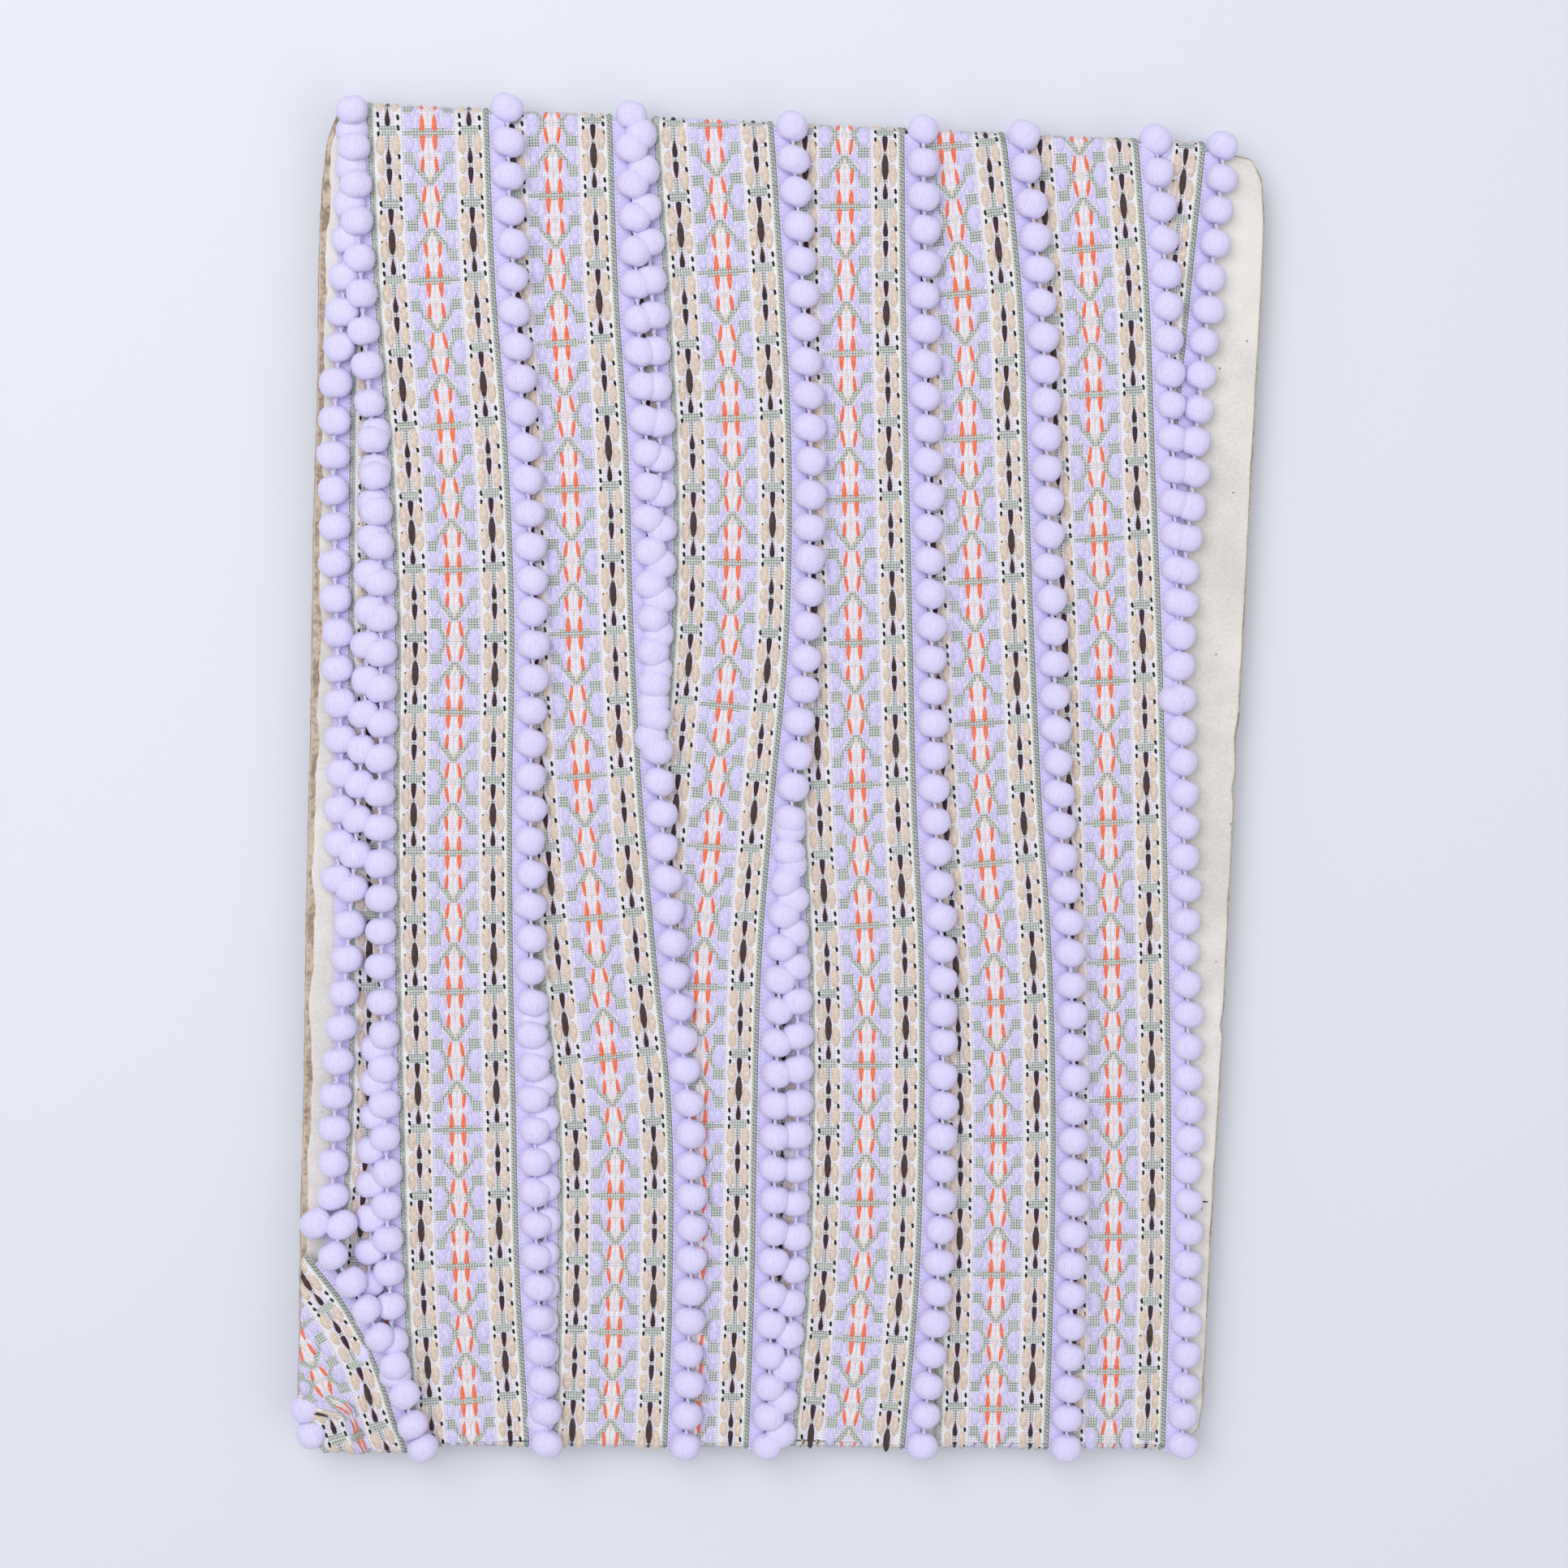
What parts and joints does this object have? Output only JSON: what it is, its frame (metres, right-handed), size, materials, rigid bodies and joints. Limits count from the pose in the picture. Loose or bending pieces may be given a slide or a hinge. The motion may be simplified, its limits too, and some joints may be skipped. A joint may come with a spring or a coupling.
{
  "type": "pompom-edged embroidered ribbon wound on a card",
  "caption": "Woven ribbon with a geometric pattern and pompom tapes on both edges, wound in overlapping flat runs round a stiff card.",
  "frame": {"origin": "centre of the part's footprint, on the surface that it lies on", "axes": "+Z out of the card's front towards the viewer, +Y along the card's long side towards its clipped corner's end, +X across the card to the right"},
  "size_m": [0.211, 0.3054, 0.0183],
  "materials": {
    "card": "matt grey-white board over brown layers",
    "ribbon": "jacquard weave in grey, white, lilac, orange, beige and dark brown",
    "pompom": "soft lilac acrylic pile"
  },
  "bodies": {
    "root": {"card": "card", "ribbon_winding": "ribbon", "ribbon_tail": "ribbon", "tail_pompoms": "pompom", "pompoms_1_left": "pompom", "pompoms_1_right": "pompom", "pompoms_2_right": "pompom", "pompoms_3_right": "pompom", "pompoms_4_right": "pompom", "pompoms_5_right": "pompom", "pompoms_6_right": "pompom", "pompoms_7_right": "pompom", "pompoms_under_left": "pompom", "tape_3_left": "pompom", "tape_4_left": "pompom", "back_pompoms_left": "pompom", "back_pompoms_1": "pompom", "back_pompoms_2": "pompom", "back_pompoms_3": "pompom", "back_pompoms_4": "pompom", "back_pompoms_5": "pompom", "back_pompoms_6": "pompom", "back_pompoms_7": "pompom"}
  },
  "joints": []
}
